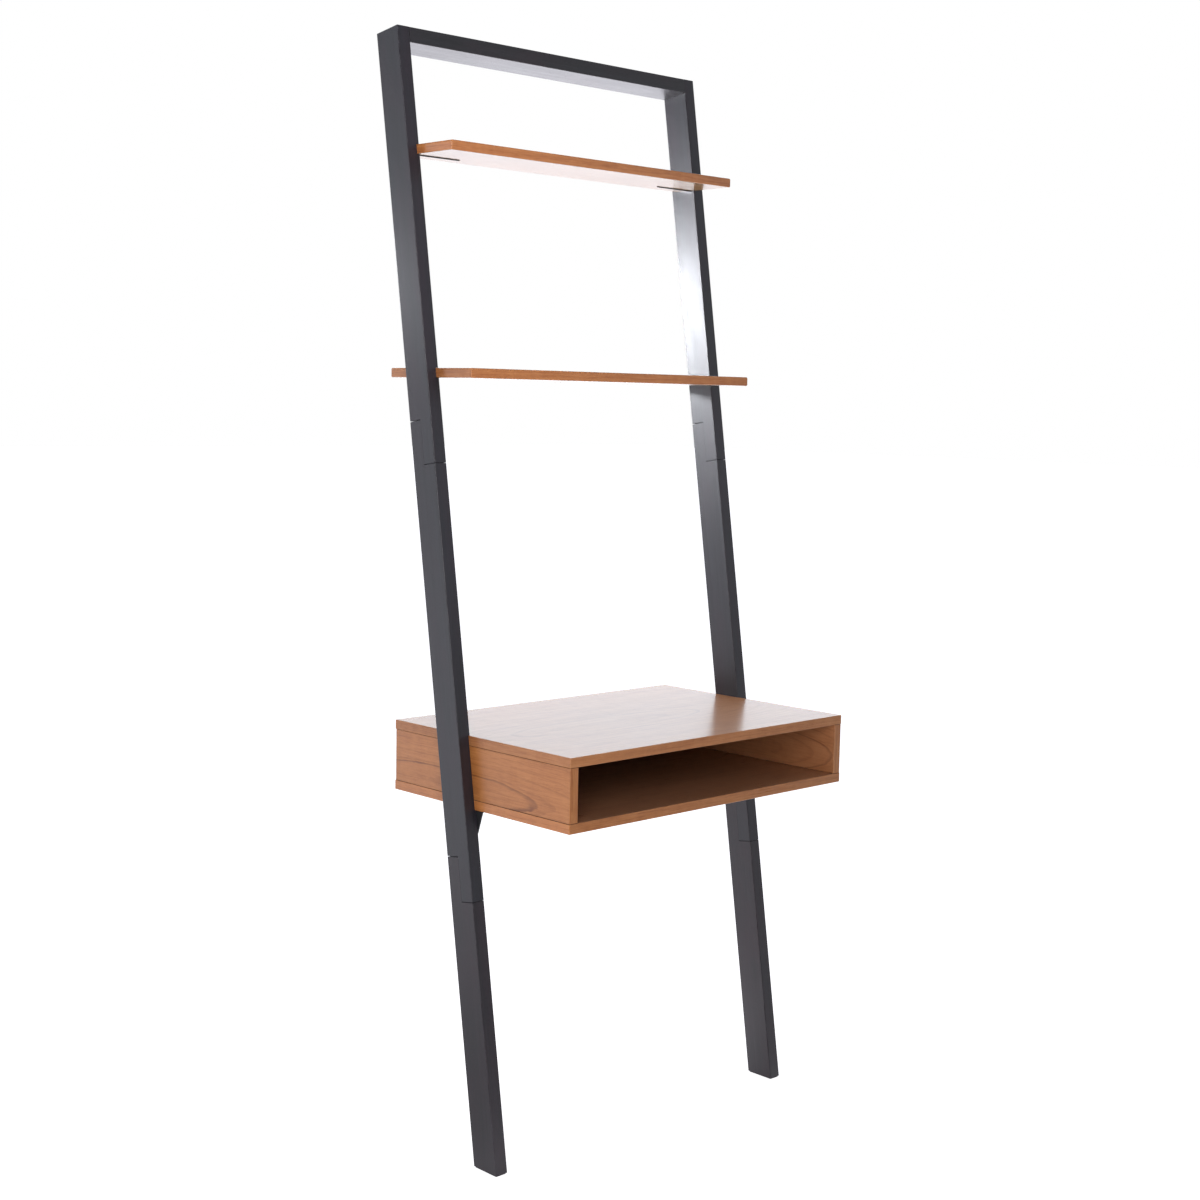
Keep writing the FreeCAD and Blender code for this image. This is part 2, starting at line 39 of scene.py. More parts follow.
def make_camera():
    at = Vector((-2.49354, -2.55403, 1.39143))
    yaw, pitch, roll = (math.radians(a) for a in (-43.756, -6.091, 1.107))
    fw = Vector((-math.sin(yaw) * math.cos(pitch), math.cos(yaw) * math.cos(pitch), math.sin(pitch)))
    right = Vector((math.cos(yaw), math.sin(yaw), 0.0))
    up = right.cross(fw)
    r = right * math.cos(roll) + up * math.sin(roll)
    u = -right * math.sin(roll) + up * math.cos(roll)
    cam = bpy.data.cameras.new("camera")
    cam.sensor_width = 36.0
    cam.lens = 55.895
    cam.clip_start, cam.clip_end = 0.05, 200.0
    ob = bpy.data.objects.new("camera", cam)
    bpy.context.scene.collection.objects.link(ob)
    m = Matrix((r, u, -fw)).transposed().to_4x4()
    m.translation = at
    ob.matrix_world = m
    bpy.context.scene.camera = ob


# ---------------------------------------------------------------------------
# a small helper for node trees
# ---------------------------------------------------------------------------

class Tree:
    def __init__(self, tree):
        self.t = tree
        tree.nodes.clear()

    def node(self, kind, **props):
        n = self.t.nodes.new(kind)
        for k, v in props.items():
            setattr(n, k, v)
        return n

    def put(self, socket, value):
        if isinstance(value, bpy.types.NodeSocket):
            self.t.links.new(value, socket)
        elif value is not None:
            if socket.type == "RGBA" and len(value) == 3:
                value = (*value, 1.0)
            socket.default_value = value

    def m(self, op, a, b=None, c=None, clamp=False):
        n = self.node("ShaderNodeMath", operation=op, use_clamp=clamp)
        for s, v in zip(n.inputs, (a, b, c)):
            self.put(s, v)
        return n.outputs[0]

    def v(self, op, a, b=None):
        n = self.node("ShaderNodeVectorMath", operation=op)
        self.put(n.inputs[0], a)
        if op == "SCALE":
            self.put(n.inputs["Scale"], b)
        else:
            self.put(n.inputs[1], b)
        return n.outputs["Value"] if op in ("DOT_PRODUCT", "LENGTH") else n.outputs["Vector"]

    def sep(self, a):
        n = self.node("ShaderNodeSeparateXYZ")
        self.put(n.inputs[0], a)
        return n.outputs

    def xyz(self, x, y, z):
        n = self.node("ShaderNodeCombineXYZ")
        for s, v in zip(n.inputs, (x, y, z)):
            self.put(s, v)
        return n.outputs[0]

    def mix(self, f, a, b):
        n = self.node("ShaderNodeMix", data_type="FLOAT")
        self.put(n.inputs[0], f)
        self.put(n.inputs[2], a)
        self.put(n.inputs[3], b)
        return n.outputs[0]

    def mixc(self, f, a, b, blend="MIX"):
        n = self.node("ShaderNodeMix", data_type="RGBA", blend_type=blend)
        self.put(n.inputs[0], f)
        self.put(n.inputs[6], a)
        self.put(n.inputs[7], b)
        return n.outputs[2]

    def rng(self, x, a, b, c=0.0, d=1.0, smooth=False):
        n = self.node("ShaderNodeMapRange", clamp=True)
        if smooth:
            n.interpolation_type = "SMOOTHSTEP"
        for i, v in enumerate((x, a, b, c, d)):
            self.put(n.inputs[i], v)
        return n.outputs[0]

    def noise(self, vec, scale=1.0, detail=2.0, rough=0.5, distort=0.0):
        n = self.node("ShaderNodeTexNoise", noise_dimensions="3D")
        self.put(n.inputs["Vector"], vec)
        self.put(n.inputs["Scale"], scale)
        self.put(n.inputs["Detail"], detail)
        self.put(n.inputs["Roughness"], rough)
        self.put(n.inputs["Distortion"], distort)
        return n.outputs[0]

    def hash1(self, w):
        n = self.node("ShaderNodeTexWhiteNoise", noise_dimensions="1D")
        self.put(n.inputs["W"], w)
        return n.outputs["Value"]

    def ramp(self, f, stops):
        n = self.node("ShaderNodeValToRGB")
        e = n.color_ramp.elements
        while len(e) > 1:
            e.remove(e[-1])
        e[0].position, e[0].color = stops[0][0], (*stops[0][1], 1.0)
        for pos, col in stops[1:]:
            k = e.new(pos)
            k.color = (*col, 1.0)
        self.put(n.inputs[0], f)
        return n.outputs[0]

    def grey(self, x):
        """a number used as a grey colour"""
        n = self.node("ShaderNodeCombineColor")
        for s in n.inputs:
            self.put(s, x)
        return n.outputs[0]


def material(name):
    mat = bpy.data.materials.new(name)
    mat.use_nodes = True
    return mat, Tree(mat.node_tree)


def surface(t, color, rough, normal=None, **fixed):
    """The one shader of a finish.  Values that are the same all over are set on its own sockets."""
    out = t.node("ShaderNodeOutputMaterial")
    s = t.node("ShaderNodeBsdfPrincipled")
    t.put(s.inputs["Base Color"], color)
    t.put(s.inputs["Roughness"], rough)
    if normal is not None:
        t.put(s.inputs["Normal"], normal)
    for k, v in fixed.items():
        s.inputs[k.replace("_", " ")].default_value = v
    t.t.links.new(s.outputs[0], out.inputs[0])
    return s


def bump(t, height, distance_mm, strength=1.0, chained=None):
    n = t.node("ShaderNodeBump")
    n.inputs["Strength"].default_value = strength
    n.inputs["Distance"].default_value = distance_mm / 1000.0
    t.put(n.inputs["Height"], height)
    if chained is not None:
        t.put(n.inputs["Normal"], chained)
    return n.outputs[0]


def place(t, raked=False, centre=(0.0, 0.0, 0.0)):
    """Position in mm about a centre, and the unit normal, both along the board's own axes."""
    tc = t.node("ShaderNodeTexCoord")
    p = t.v("SCALE", tc.outputs["Object"], 1000.0)
    n = tc.outputs["Normal"]
    if raked:
        # upright axes of the leaning frame: x, depth v, length u
        p = t.v("SUBTRACT", p, (0.0, SHIFT_Y, 0.0))
        p = t.xyz(t.sep(p)[0], t.v("DOT_PRODUCT", p, (0.0, COS, -SIN)), t.v("DOT_PRODUCT", p, (0.0, SIN, COS)))
        n = t.xyz(t.sep(n)[0], t.v("DOT_PRODUCT", n, (0.0, COS, -SIN)), t.v("DOT_PRODUCT", n, (0.0, SIN, COS)))
    p = t.v("SUBTRACT", p, centre)
    return t.sep(p), t.sep(n)


def arris(t, p, half, width):
    """1 on the long edges of a box of the given half sizes, falling to 0 at width mm from them."""
    d = [t.m("SUBTRACT", h, t.m("ABSOLUTE", c)) for h, c in zip(half, p)]
    # second smallest of the three distances to the faces
    lo = t.m("MINIMUM", d[0], d[1])
    hi = t.m("MAXIMUM", d[0], d[1])
    second = t.m("MINIMUM", hi, t.m("MAXIMUM", lo, d[2]))
    return t.rng(second, 0.0, width, 1.0, 0.0, smooth=True)


# ---------------------------------------------------------------------------
# veneered boards
# ---------------------------------------------------------------------------

AXES = "XYZ"


def wood(name, node, grain, thick, seed, figure, tones, rough=0.3, contrast=1.0, edge_tone=(0.90, 0.82, 0.66), seams=(), gate=0.0, under=None, over=None, left=None, front=None, coat=None):
    """Warm reddish-brown veneer.  grain and thick are the axes of the long grain and of the board's thickness.
    figure is (u0, v0, d0, k, radius, strength, spacing): a plain-sliced leaf whose growth rings are cylinders round a
    line at depth d0 + k (u - u0)^2 below the face, over v0, with one dark ring at the given radius.
    seams are the heights of glued joints, with painted shadow in their grooves, beyond |x| = gate.
    under, over, left and front multiply the colour of a face that looks down, up, to the left or to the front: painted
    light and shade (lighter, darker or cooler by how light falls on that face), partly the veneer's own plainer tone.
    coat is (weight, roughness, IOR) of a clear lacquer over a duller ground."""
    mat, t = material(name)
    lo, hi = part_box(node)
    c = [(a + b) * 500.0 for a, b in zip(lo, hi)]
    half = [(b - a) * 500.0 for a, b in zip(lo, hi)]
    gi, ti = AXES.index(grain), AXES.index(thick)
    wi = 3 - gi - ti
    p, n = place(t, centre=c)
    g, w, h = p[gi], p[wi], p[ti]
    on_t = t.m("GREATER_THAN", t.m("ABSOLUTE", n[ti]), 0.7071)
    on_g = t.m("GREATER_THAN", t.m("ABSOLUTE", n[gi]), 0.7071)
    u = t.mix(on_g, g, w)
    v = t.mix(on_t, h, w)
    # every face of the board is its own leaf
    side = t.m("GREATER_THAN", t.m("ADD", t.m("ADD", n[0], n[1]), n[2]), 0.0)
    leaf = t.m("ADD", t.m("MULTIPLY_ADD", side, 7.31, seed), t.m("MULTIPLY_ADD", on_t, 17.17, t.m("MULTIPLY", on_g, 31.7)))

    # growth rings
    u0, v0, d0, k, radius, strength, spacing = figure
    wob = t.m("SUBTRACT", t.noise(t.xyz(t.m("MULTIPLY", u, 0.0075), t.m("MULTIPLY", v, 0.02), leaf), detail=2.0), 0.5)
    wob2 = t.m("SUBTRACT", t.noise(t.xyz(t.m("MULTIPLY", u, 0.03), t.m("MULTIPLY", v, 0.06), t.m("ADD", leaf, 3.3)), detail=2.0), 0.5)
    du = t.m("SUBTRACT", u, u0)
    depth = t.m("MULTIPLY_ADD", t.m("MULTIPLY", du, du), k, d0)
    dv = t.m("MULTIPLY_ADD", wob, 11.0, t.m("SUBTRACT", v, v0))
    r = t.m("SQRT", t.m("ADD", t.m("MULTIPLY", dv, dv), t.m("MULTIPLY", depth, depth)))
    r = t.m("MULTIPLY_ADD", wob2, 2.6, r)
    edge_r = t.m("MULTIPLY_ADD", wob, 9.0, t.m("MULTIPLY", v, 0.9))
    r = t.mix(on_t, edge_r, r)
    ph = t.m("ADD", t.m("DIVIDE", r, spacing), seed)
    fr = t.m("FRACT", ph)
    amp = t.m("POWER", t.hash1(t.m("FLOOR", ph)), 1.8)
    line = t.m("MULTIPLY", t.rng(fr, 0.70, 0.95, smooth=True), t.rng(fr, 0.955, 1.0, 1.0, 0.0))
    rings = t.m("MULTIPLY", t.m("MULTIPLY_ADD", amp, 0.85, 0.15), line)
    rings = t.m("MULTIPLY", rings, t.mix(on_t, 0.45, 1.0))
    # the one strong ring: dark on its outer side, fading inwards
    off = t.m("SUBTRACT", r, radius)
    main = t.m("MULTIPLY", t.rng(off, -1.6, 0.0, smooth=True), t.rng(off, 0.0, 0.6, 1.0, 0.0, smooth=True))
    fade = t.rng(t.noise(t.xyz(t.m("MULTIPLY", u, 0.02), t.m("MULTIPLY", v, 0.02), t.m("ADD", leaf, 9.0)), detail=1.0), 0.30, 0.62, 0.50, 1.0)
    main = t.m("MULTIPLY", t.m("MULTIPLY", main, fade), t.m("MULTIPLY", on_t, strength))

    # streaks and fibre along the grain, pores as short dark dashes
    broad = t.noise(t.xyz(t.m("MULTIPLY", u, 0.004), t.m("MULTIPLY", v, 0.045), leaf), detail=2.0, rough=0.55)
    streak = t.noise(t.xyz(t.m("MULTIPLY", u, 0.010), t.m("MULTIPLY", v, 0.24), t.m("ADD", leaf, 1.7)), detail=3.0, rough=0.6)
    fibre = t.noise(t.xyz(t.m("MULTIPLY", u, 0.035), t.m("MULTIPLY", v, 1.25), t.m("ADD", leaf, 5.1)), detail=3.0, rough=0.6)
    pore = t.noise(t.xyz(t.m("MULTIPLY", u, 0.13), t.m("MULTIPLY", v, 2.9), t.m("ADD", leaf, 8.4)), detail=1.0)
    pore = t.rng(pore, 0.60, 0.74, smooth=True)
    clump = t.rng(t.noise(t.xyz(t.m("MULTIPLY", u, 0.012), t.m("MULTIPLY", v, 0.12), t.m("ADD", leaf, 12.0)), detail=1.0), 0.42, 0.66)
    pore = t.m("MULTIPLY", pore, t.m("MULTIPLY_ADD", clump, 0.75, 0.25))
    silk = t.noise(t.xyz(t.m("MULTIPLY", u, 0.05), t.m("MULTIPLY", v, 0.035), t.m("ADD", leaf, 15.0)), detail=3.0, rough=0.6)

    k_ = t.mix(on_t, 1.5 * contrast, contrast)      # the end and edge bands show their figure more
    tone = t.m("MULTIPLY", t.m("SUBTRACT", broad, 0.5), 0.58)
    tone = t.m("MULTIPLY_ADD", t.m("SUBTRACT", streak, 0.5), 0.72, tone)
    tone = t.m("MULTIPLY_ADD", t.m("SUBTRACT", fibre, 0.5), 0.90, tone)
    tone = t.m("MULTIPLY_ADD", t.m("SUBTRACT", silk, 0.5), 0.42, tone)
    tone = t.m("MULTIPLY_ADD", t.m("SUBTRACT", line, 0.15), -0.10, tone)
    tone = t.m("MULTIPLY_ADD", tone, k_, 0.5, clamp=True)
    col = t.ramp(tone, [(0.0, tones[0]), (0.5, tones[1]), (1.0, tones[2])])
    dark = t.m("MULTIPLY_ADD", rings, 0.22 * contrast, t.m("MULTIPLY", pore, 0.42))
    dark = t.m("MAXIMUM", dark, t.m("MULTIPLY", main, 0.80), clamp=True)
    col = t.mixc(dark, col, [x * y for x, y in zip(tones[0], (0.42, 0.34, 0.30))])
    on_face = t.mixc(t.m("MAXIMUM", on_t, 0.0), edge_tone, (1.0, 1.0, 1.0))
    col = t.mixc(1.0, col, on_face, blend="MULTIPLY")
    # painted light and shade, partly the veneer's own tone: a face is lightened, darkened or tinted by which way it
    # looks
    for tint, axis, way, limit in ((under, 2, "LESS_THAN", -0.7071), (over, 2, "GREATER_THAN", 0.7071), (left, 0, "LESS_THAN", -0.7071),
                                    (front, 1, "LESS_THAN", -0.7071)):
        if tint is not None:
            col = t.mixc(1.0, col, t.mixc(t.m(way, n[axis], limit), (1.0, 1.0, 1.0), tint), blend="MULTIPLY")

    # glue line of the edge band on the broad faces, and arrises lighter and cooler: partly rubbed wear, partly a
    # painted highlight
    dg = t.m("SUBTRACT", half[gi], t.m("ABSOLUTE", g))
    dw = t.m("SUBTRACT", half[wi], t.m("ABSOLUTE", w))
    near = t.m("MINIMUM", dg, dw)
    glue = t.m("MULTIPLY", t.rng(t.m("ABSOLUTE", t.m("SUBTRACT", near, 1.9)), 0.12, 0.4, 1.0, 0.0), on_t)
    rub_and_highlight = arris(t, (p[0], p[1], p[2]), half, 1.9)
    rubn = t.noise(t.xyz(t.m("MULTIPLY", p[0], 0.05), t.m("MULTIPLY", p[1], 0.05), t.m("MULTIPLY_ADD", p[2], 0.05, seed)), detail=3.0)
    rub_and_highlight = t.m("MULTIPLY", rub_and_highlight, t.rng(rubn, 0.35, 0.7, 0.15, 1.0))
    col = t.mixc(t.m("MULTIPLY", glue, 0.32), col, [x * 0.35 for x in tones[0]])
    col = t.mixc(t.m("MULTIPLY", rub_and_highlight, 0.30), col, [min(1.0, x * y) for x, y in zip(tones[2], (1.10, 1.16, 1.22))])

    # painted shadow in the grooves where boards meet, and a duller sheen there
    joint = None
    for at in seams:
        one = t.rng(t.m("ABSOLUTE", t.m("SUBTRACT", p[2], at - c[2])), 0.35, 1.00, 1.0, 0.0, smooth=True)
        joint = one if joint is None else t.m("MAXIMUM", joint, one)
    if joint is not None:
        joint = t.m("MULTIPLY", joint, t.rng(t.m("ABSOLUTE", t.m("ADD", p[0], c[0])), gate - 0.5, gate, 0.0, 1.0))
        joint = t.m("MULTIPLY", joint, t.rng(rubn, 0.25, 0.60, 0.40, 0.80))
        # painted shadow fainter towards the rear
        joint = t.m("MULTIPLY", joint, t.rng(t.m("ADD", p[1], c[1]), 60.0, 230.0, 1.0, 0.45))
        col = t.mixc(joint, col, (0.060, 0.026, 0.012))

    smear = t.noise(t.xyz(t.m("MULTIPLY", p[0], 0.011), t.m("MULTIPLY", p[1], 0.011), t.m("MULTIPLY_ADD", p[2], 0.011, seed)), detail=3.0)
    ro = t.m("MULTIPLY_ADD", t.m("SUBTRACT", smear, 0.5), 0.10, rough)
    if joint is not None:
        ro = t.m("MULTIPLY_ADD", joint, 0.45, ro)
    ro = t.m("MULTIPLY_ADD", t.m("SUBTRACT", streak, 0.5), 0.08, ro)
    ro = t.m("MULTIPLY_ADD", pore, 0.10, ro, clamp=True)
    hgt = t.m("MULTIPLY_ADD", fibre, 0.45, t.m("MULTIPLY", streak, 0.30))
    hgt = t.m("MULTIPLY_ADD", pore, -0.8, hgt)
    hgt = t.m("MULTIPLY_ADD", rings, -0.25, hgt)
    hgt = t.m("MULTIPLY_ADD", glue, -0.8, hgt)
    nrm = bump(t, hgt, 0.035, 0.6)
    s = surface(t, col, ro, nrm, IOR=1.5, Specular_IOR_Level=0.5)
    if coat is not None:
        s.inputs["Coat Weight"].default_value = coat[0]
        s.inputs["Coat Roughness"].default_value = coat[1]
        s.inputs["Coat IOR"].default_value = coat[2]
        t.put(s.inputs["Coat Normal"], nrm)
    if joint is not None:
        t.put(s.inputs["Specular IOR Level"], t.rng(joint, 0.0, 1.0, 0.5, 0.15))
    return mat


# ---------------------------------------------------------------------------
# black-stained, satin-lacquered hardwood of the frame
# ---------------------------------------------------------------------------

def black_wood(name, seed, tone=(0.0168, 0.0162, 0.0218), rail=False, ends=()):
    mat, t = material(name)
    p, n = place(t, raked=True)
    ax = t.m("ABSOLUTE", n[0])
    if rail:
        half_t = 14.25
        u_c = 2060.0 / COS - half_t
        u, v, w = p[0], t.m("SUBTRACT", p[1], 31.0), t.m("SUBTRACT", p[2], u_c)
        half = (1e4, 31.0, half_t)
        on_v = t.m("GREATER_THAN", t.m("ABSOLUTE", n[2]), 0.7071)
        box3 = (t.m("MULTIPLY", p[0], 0.0), v, w)
    else:
        u = p[2]
        v = t.m("SUBTRACT", p[1], 31.0)
        w = t.m("SUBTRACT", t.m("ABSOLUTE", p[0]), 373.5)
        half = (13.5, 31.0, 1e4)
        on_v = t.m("GREATER_THAN", ax, 0.7071)
        box3 = (w, v, t.m("MULTIPLY", u, 0.0))
    across = t.mix(on_v, w, v)
    leaf = t.m("MULTIPLY_ADD", on_v, 13.3, t.m("MULTIPLY_ADD", t.m("GREATER_THAN", n[0], 0.0), 5.7, seed))
    drift = t.m("SUBTRACT", t.noise(t.xyz(t.m("MULTIPLY", u, 0.004), t.m("MULTIPLY", across, 0.01), leaf), detail=1.0), 0.5)
    a2 = t.m("MULTIPLY_ADD", drift, 10.0, across)
    broad = t.noise(t.xyz(t.m("MULTIPLY", u, 0.0022), t.m("MULTIPLY", a2, 0.07), leaf), detail=2.0, rough=0.55)
    streak = t.noise(t.xyz(t.m("MULTIPLY", u, 0.006), t.m("MULTIPLY", a2, 0.36), t.m("ADD", leaf, 2.2)), detail=3.0, rough=0.6)
    fibre = t.noise(t.xyz(t.m("MULTIPLY", u, 0.03), t.m("MULTIPLY", a2, 1.7), t.m("ADD", leaf, 4.4)), detail=3.0, rough=0.6)
    pore = t.rng(t.noise(t.xyz(t.m("MULTIPLY", u, 0.09), t.m("MULTIPLY", a2, 2.6), t.m("ADD", leaf, 6.6)), detail=1.0), 0.62, 0.74, smooth=True)
    cloud = t.noise(t.xyz(t.m("MULTIPLY", u, 0.006), t.m("MULTIPLY", across, 0.02), t.m("ADD", leaf, 8.8)), detail=3.0, rough=0.6)

    f = t.m("MULTIPLY_ADD", t.m("SUBTRACT", streak, 0.5), 0.9, 0.5)
    f = t.m("MULTIPLY_ADD", t.m("SUBTRACT", fibre, 0.5), 0.8, f)
    f = t.m("MULTIPLY_ADD", t.m("SUBTRACT", broad, 0.5), 0.6, f, clamp=True)
    col = t.ramp(f, [(0.0, [x * 0.45 for x in tone]), (0.5, tone), (1.0, [x * 1.75 for x in tone])])
    warm = t.m("MULTIPLY", t.rng(cloud, 0.42, 0.66), 0.75)
    col = t.mixc(warm, col, (tone[0] * 1.38, tone[1] * 0.96, tone[2] * 1.08))
    col = t.mixc(t.m("MULTIPLY", pore, 0.5), col, (0.008, 0.008, 0.009))

    # arrises lighter: partly worn, partly a painted highlight along the arris
    edge = arris(t, box3, half, 1.5)
    wearn = t.noise(t.xyz(t.m("MULTIPLY", u, 0.035), t.m("MULTIPLY", v, 0.08), t.m("MULTIPLY_ADD", w, 0.08, seed)), detail=4.0, rough=0.65)
    wear_and_highlight = t.m("MULTIPLY", edge, t.rng(wearn, 0.36, 0.66))
    col = t.mixc(t.m("MULTIPLY", wear_and_highlight, 0.75), col, (0.105, 0.100, 0.112))

    # dark in the seams of the half-laps: front shoulder, rear shoulder and the line between them
    seam = None
    if not rail:
        for front in (495.0, 1290.0):
            in_front = t.m("LESS_THAN", v, 0.3)
            at = t.mix(in_front, front + 82.3, front + 0.4)
            one = t.rng(t.m("ABSOLUTE", t.m("SUBTRACT", u, at)), 0.5, 1.4, 1.0, 0.0, smooth=True)
            between = t.m("MULTIPLY", t.rng(t.m("ABSOLUTE", t.m("SUBTRACT", u, front + 41.5)), 41.0, 42.0, 1.0, 0.0),
                          t.rng(t.m("ABSOLUTE", v), 0.4, 1.1, 1.0, 0.0, smooth=True))
            one = t.m("MAXIMUM", one, t.m("MULTIPLY", between, 0.14))
            seam = one if seam is None else t.m("MAXIMUM", seam, one)
        col = t.mixc(t.m("MULTIPLY", seam, 0.25), col, (0.006, 0.006, 0.006))

    smear = t.noise(t.xyz(t.m("MULTIPLY", u, 0.010), t.m("MULTIPLY", across, 0.03), t.m("ADD", leaf, 11.0)), detail=3.0)
    ro = t.m("MULTIPLY_ADD", t.m("SUBTRACT", smear, 0.5), 0.08, 0.38)
    if seam is not None:
        ro = t.m("MULTIPLY_ADD", seam, 0.2, ro)
    ro = t.m("MULTIPLY_ADD", t.m("SUBTRACT", streak, 0.5), 0.20, ro)
    ro = t.m("MULTIPLY_ADD", wear_and_highlight, 0.12, ro, clamp=True)
    hgt = t.m("MULTIPLY_ADD", fibre, 0.5, t.m("MULTIPLY", streak, 0.5))
    hgt = t.m("MULTIPLY_ADD", pore, -0.9, hgt)
    nrm = bump(t, hgt, 0.055, 0.7)
    s = surface(t, col, ro, nrm, IOR=1.5, Specular_IOR_Level=0.5)
    if seam is not None:
        t.put(s.inputs["Specular IOR Level"], t.rng(seam, 0.0, 1.0, 0.5, 0.36))
    return mat


# ---------------------------------------------------------------------------
# metal, rubber and small parts
# ---------------------------------------------------------------------------

def powder_coat(name):
    mat, t = material(name)
    p, n = place(t)
    pos = t.xyz(p[0], p[1], p[2])
    peel = t.noise(pos, 0.9, 3.0, 0.55)
    fine = t.noise(pos, 3.2, 2.0)
    cloud = t.noise(pos, 0.05, 2.0)
    col = t.ramp(t.m("MULTIPLY_ADD", peel, 0.5, t.m("MULTIPLY", cloud, 0.5)), [(0.25, (0.012, 0.012, 0.013)), (0.75, (0.030, 0.030, 0.033))])
    ro = t.m("MULTIPLY_ADD", fine, 0.16, 0.38)
    surface(t, col, ro, bump(t, t.m("MULTIPLY_ADD", fine, 0.35, peel), 0.05, 0.7), IOR=1.5, Specular_IOR_Level=0.5)
    return mat


def zinc(name, axis, dark=False, spin=False):
    """Zinc-plated steel, drawn along one axis; spin is for turned screw heads."""
    mat, t = material(name)
    p, n = place(t)
    sc = [1.6, 1.6, 1.6]
    sc[AXES.index(axis)] = 0.05 if not spin else 0.6
    drawn = t.noise(t.xyz(*[t.m("MULTIPLY", p[i], sc[i]) for i in range(3)]), 1.0, 3.0, 0.6)
    pos = t.xyz(p[0], p[1], p[2])
    spangle = t.noise(pos, 0.35, 2.0)
    haze = t.noise(pos, 0.09, 3.0)
    if dark:
        stops = [(0.2, (0.018, 0.018, 0.020)), (0.55, (0.045, 0.045, 0.048)), (0.85, (0.085, 0.083, 0.080))]
    else:
        stops = [(0.2, (0.19, 0.195, 0.20)), (0.5, (0.30, 0.305, 0.31)), (0.8, (0.42, 0.415, 0.39))]
    col = t.ramp(t.m("MULTIPLY_ADD", spangle, 0.5, t.m("MULTIPLY", haze, 0.5)), stops)
    col = t.mixc(t.rng(drawn, 0.35, 0.7, 0.0, 0.35), col, [x * 0.6 for x in stops[1][1]])
    ro = t.m("MULTIPLY_ADD", t.m("SUBTRACT", drawn, 0.5), 0.25, 0.42 if dark else 0.33)
    ro = t.m("MULTIPLY_ADD", t.m("SUBTRACT", haze, 0.5), 0.2, ro, clamp=True)
    surface(t, col, ro, bump(t, drawn, 0.02, 0.5), Metallic=1.0)
    return mat


def brass(name):
    mat, t = material(name)
    p, n = place(t, raked=True)
    turned = t.noise(t.xyz(t.m("MULTIPLY", p[0], 0.2), t.m("MULTIPLY", p[1], 3.5), t.m("MULTIPLY", p[2], 0.2)), 1.0, 2.0, 0.6)
    haze = t.noise(t.xyz(p[0], p[1], p[2]), 0.25, 3.0)
    col = t.ramp(haze, [(0.3, (0.50, 0.34, 0.13)), (0.5, (0.72, 0.53, 0.25)), (0.7, (0.80, 0.62, 0.32))])
    ro = t.m("MULTIPLY_ADD", turned, 0.22, 0.20)
    surface(t, col, ro, bump(t, turned, 0.03, 0.6), Metallic=1.0)
    return mat


def rubber(name):
    mat, t = material(name)
    p, n = place(t)
    pos = t.xyz(p[0], p[1], p[2])
    grit = t.noise(pos, 1.3, 4.0, 0.65)
    dust = t.noise(pos, 0.12, 3.0, 0.6)
    col = t.ramp(t.m("MULTIPLY_ADD", grit, 0.4, t.m("MULTIPLY", dust, 0.6)), [(0.3, (0.020, 0.020, 0.021)), (0.55, (0.034, 0.034, 0.035)), (0.8, (0.070, 0.068, 0.066))])
    ro = t.m("MULTIPLY_ADD", dust, 0.2, 0.62)
    surface(t, col, ro, bump(t, grit, 0.08, 0.8), IOR=1.5, Specular_IOR_Level=0.35)
    return mat


def dowel_wood(name, axis):
    mat, t = material(name)
    p, n = place(t)
    sc = [0.9, 0.9, 0.9]
    sc[AXES.index(axis)] = 0.05
    fibre = t.noise(t.xyz(*[t.m("MULTIPLY", p[i], sc[i]) for i in range(3)]), 1.0, 4.0, 0.6)
    sc2 = [3.0, 3.0, 3.0]
    sc2[AXES.index(axis)] = 0.45
    fleck = t.rng(t.noise(t.xyz(*[t.m("MULTIPLY", p[i], sc2[i]) for i in range(3)]), 1.0, 1.0), 0.60, 0.72)
    col = t.ramp(fibre, [(0.3, (0.52, 0.36, 0.21)), (0.5, (0.68, 0.51, 0.33)), (0.7, (0.78, 0.63, 0.44))])
    col = t.mixc(t.m("MULTIPLY", fleck, 0.45), col, (0.36, 0.22, 0.12))
    ro = t.m("MULTIPLY_ADD", fibre, 0.2, 0.55)
    surface(t, col, ro, bump(t, t.m("MULTIPLY_ADD", fleck, -0.5, fibre), 0.04, 0.7), IOR=1.45, Specular_IOR_Level=0.3)
    return mat


# ---------------------------------------------------------------------------
# finishes on the CAD nodes
# ---------------------------------------------------------------------------

TONES = ((0.325, 0.102, 0.026), (0.492, 0.190, 0.058), (0.600, 0.261, 0.092))
BOX_EDGE = (0.91, 0.88, 0.86)
SHELF_EDGE = (0.90, 0.83, 0.80)
# UNDER darkens and cools faces that look down: painted shade, partly the veneer's own tone
UNDER = (0.50, 0.69, 0.87)


def dress(node, mat):
    ob = NODES[node]
    for s in ob.material_slots:
        s.material = mat


